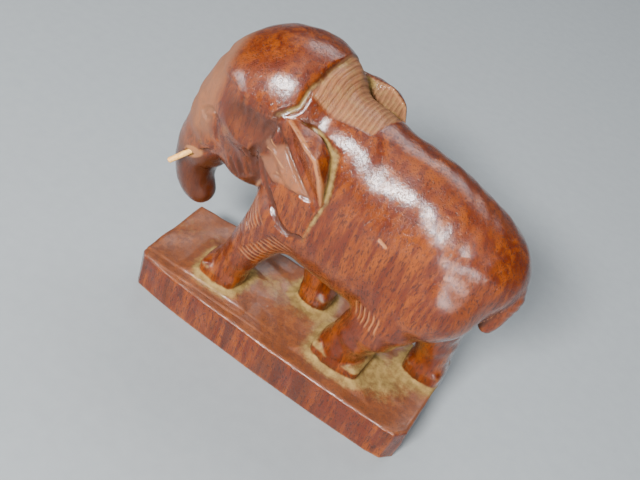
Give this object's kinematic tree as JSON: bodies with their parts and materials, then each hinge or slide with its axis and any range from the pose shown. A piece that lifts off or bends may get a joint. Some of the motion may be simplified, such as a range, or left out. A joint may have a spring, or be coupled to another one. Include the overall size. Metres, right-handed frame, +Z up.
{
  "type": "carved wooden elephant figurine",
  "caption": "Small carved hardwood elephant walking on a plinth cut from the same block, with flat-cut ears, hanging trunk and inset peg tusks.",
  "frame": {"origin": "on the table under the middle of the whole figure's box", "axes": "+Z up; the elephant faces -X with its left side towards -Y; the plinth lies along X"},
  "size_m": [0.123, 0.046, 0.1133],
  "materials": {
    "lacquered_hardwood": "glossy lacquer over reddish orange-brown hardwood, with pale wax and dust in the cuts and on the plinth's top",
    "tusk_peg": "bare pale wooden peg, lightly waxed"
  },
  "bodies": {
    "root": {"carved_block": "lacquered_hardwood", "left_tusk": "tusk_peg", "right_tusk": "tusk_peg"}
  },
  "joints": []
}
